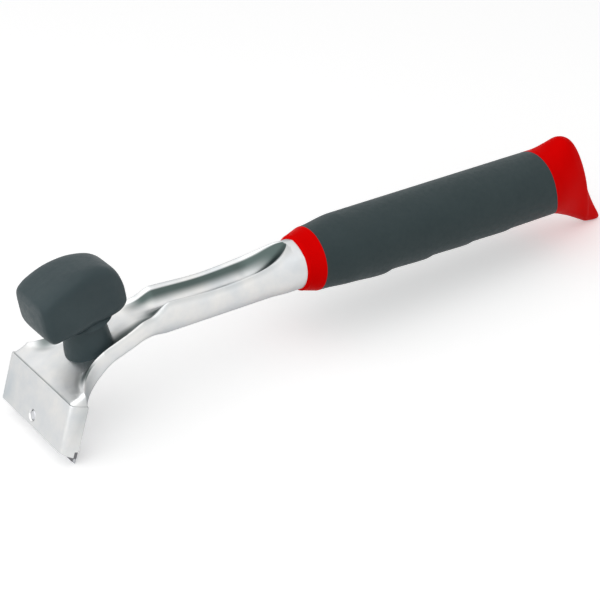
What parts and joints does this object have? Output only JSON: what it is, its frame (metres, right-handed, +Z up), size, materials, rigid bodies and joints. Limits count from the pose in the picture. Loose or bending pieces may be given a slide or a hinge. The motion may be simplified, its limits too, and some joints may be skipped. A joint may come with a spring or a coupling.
{
  "type": "carbide scraper",
  "caption": "Two-handed scraper with a clamped reversible carbide blade, cast shaft, soft grip and palm knob; it scrapes paint and glue.",
  "frame": {"origin": "middle of the blade's lower cutting edge, on the surface that the tool lies on", "axes": "+X from the blade towards the handle's end, +Y across the tool, +Z up"},
  "size_m": [0.2988, 0.05, 0.0689],
  "materials": {
    "cast_aluminium": "polished casting, softly uneven",
    "red_plastic": "glossy moulding",
    "grip_rubber": "fine matt moulded grain",
    "knob_rubber": "fine matt moulded grain",
    "brass": "turned",
    "steel": "zinc plated",
    "dark_steel": "black oxide",
    "blade_steel": "dark hardened, with ground faces",
    "carbide": "fine ground"
  },
  "bodies": {
    "root": {"shaft": "cast_aluminium", "handle_core": "red_plastic", "grip": "grip_rubber", "knob": "knob_rubber", "knob_insert": "brass", "knob_screw": "dark_steel", "knob_washer": "steel", "clamp_plate": "steel", "clamp_screw": "steel", "clamp_washer": "steel", "blade_body": "blade_steel", "upper_carbide": "carbide", "lower_carbide": "carbide"}
  },
  "joints": []
}
